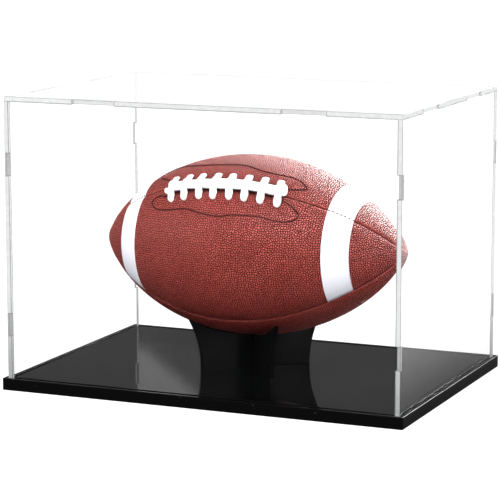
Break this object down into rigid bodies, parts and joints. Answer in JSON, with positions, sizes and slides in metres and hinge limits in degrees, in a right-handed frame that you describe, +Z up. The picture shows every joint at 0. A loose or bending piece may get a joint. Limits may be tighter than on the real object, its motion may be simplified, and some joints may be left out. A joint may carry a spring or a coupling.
{
  "type": "football display case",
  "caption": "Clear box cover standing in a grooved black base, over a low cross stand that cradles an American football.",
  "frame": {"origin": "middle of the base plate's underside", "axes": "+Z up, +X along the case's long side to the right, and the front faces -Y"},
  "size_m": [0.368, 0.26, 0.2555],
  "materials": {
    "black_acrylic": "polished",
    "clear_acrylic": "polished",
    "ball_leather": "satin",
    "lining_cloth": "matte",
    "stripe_white": "satin",
    "lace_white": "matte",
    "bladder_rubber": "matte"
  },
  "bodies": {
    "base": {"base_plate": "black_acrylic", "stand_plate_first": "black_acrylic", "stand_plate_second": "black_acrylic"},
    "cover": {"cover_front_panel": "clear_acrylic", "cover_back_panel": "clear_acrylic", "cover_left_panel": "clear_acrylic", "cover_right_panel": "clear_acrylic", "cover_top_panel": "clear_acrylic"},
    "football": {"ball_panel_front": "ball_leather", "ball_panel_top": "ball_leather", "ball_panel_back": "ball_leather", "ball_panel_bottom": "ball_leather", "ball_lining_front": "lining_cloth", "ball_lining_top": "lining_cloth", "ball_lining_back": "lining_cloth", "ball_lining_bottom": "lining_cloth", "ball_lace_patch_front": "ball_leather", "ball_lace_patch_top": "ball_leather", "ball_stripe_left_front": "stripe_white", "ball_stripe_left_top": "stripe_white", "ball_stripe_right_front": "stripe_white", "ball_stripe_right_top": "stripe_white", "ball_lace": "lace_white", "ball_bladder": "bladder_rubber", "ball_valve": "bladder_rubber"}
  },
  "joints": [
    {"name": "cover_lift", "type": "slide", "parent": "base", "child": "cover", "axis": [0, 0, 1], "range_m": [0, 0.3]},
    {"name": "ball_lift", "type": "slide", "parent": "base", "child": "football", "axis": [0, 0, 1], "range_m": [0, 0.045]}
  ]
}
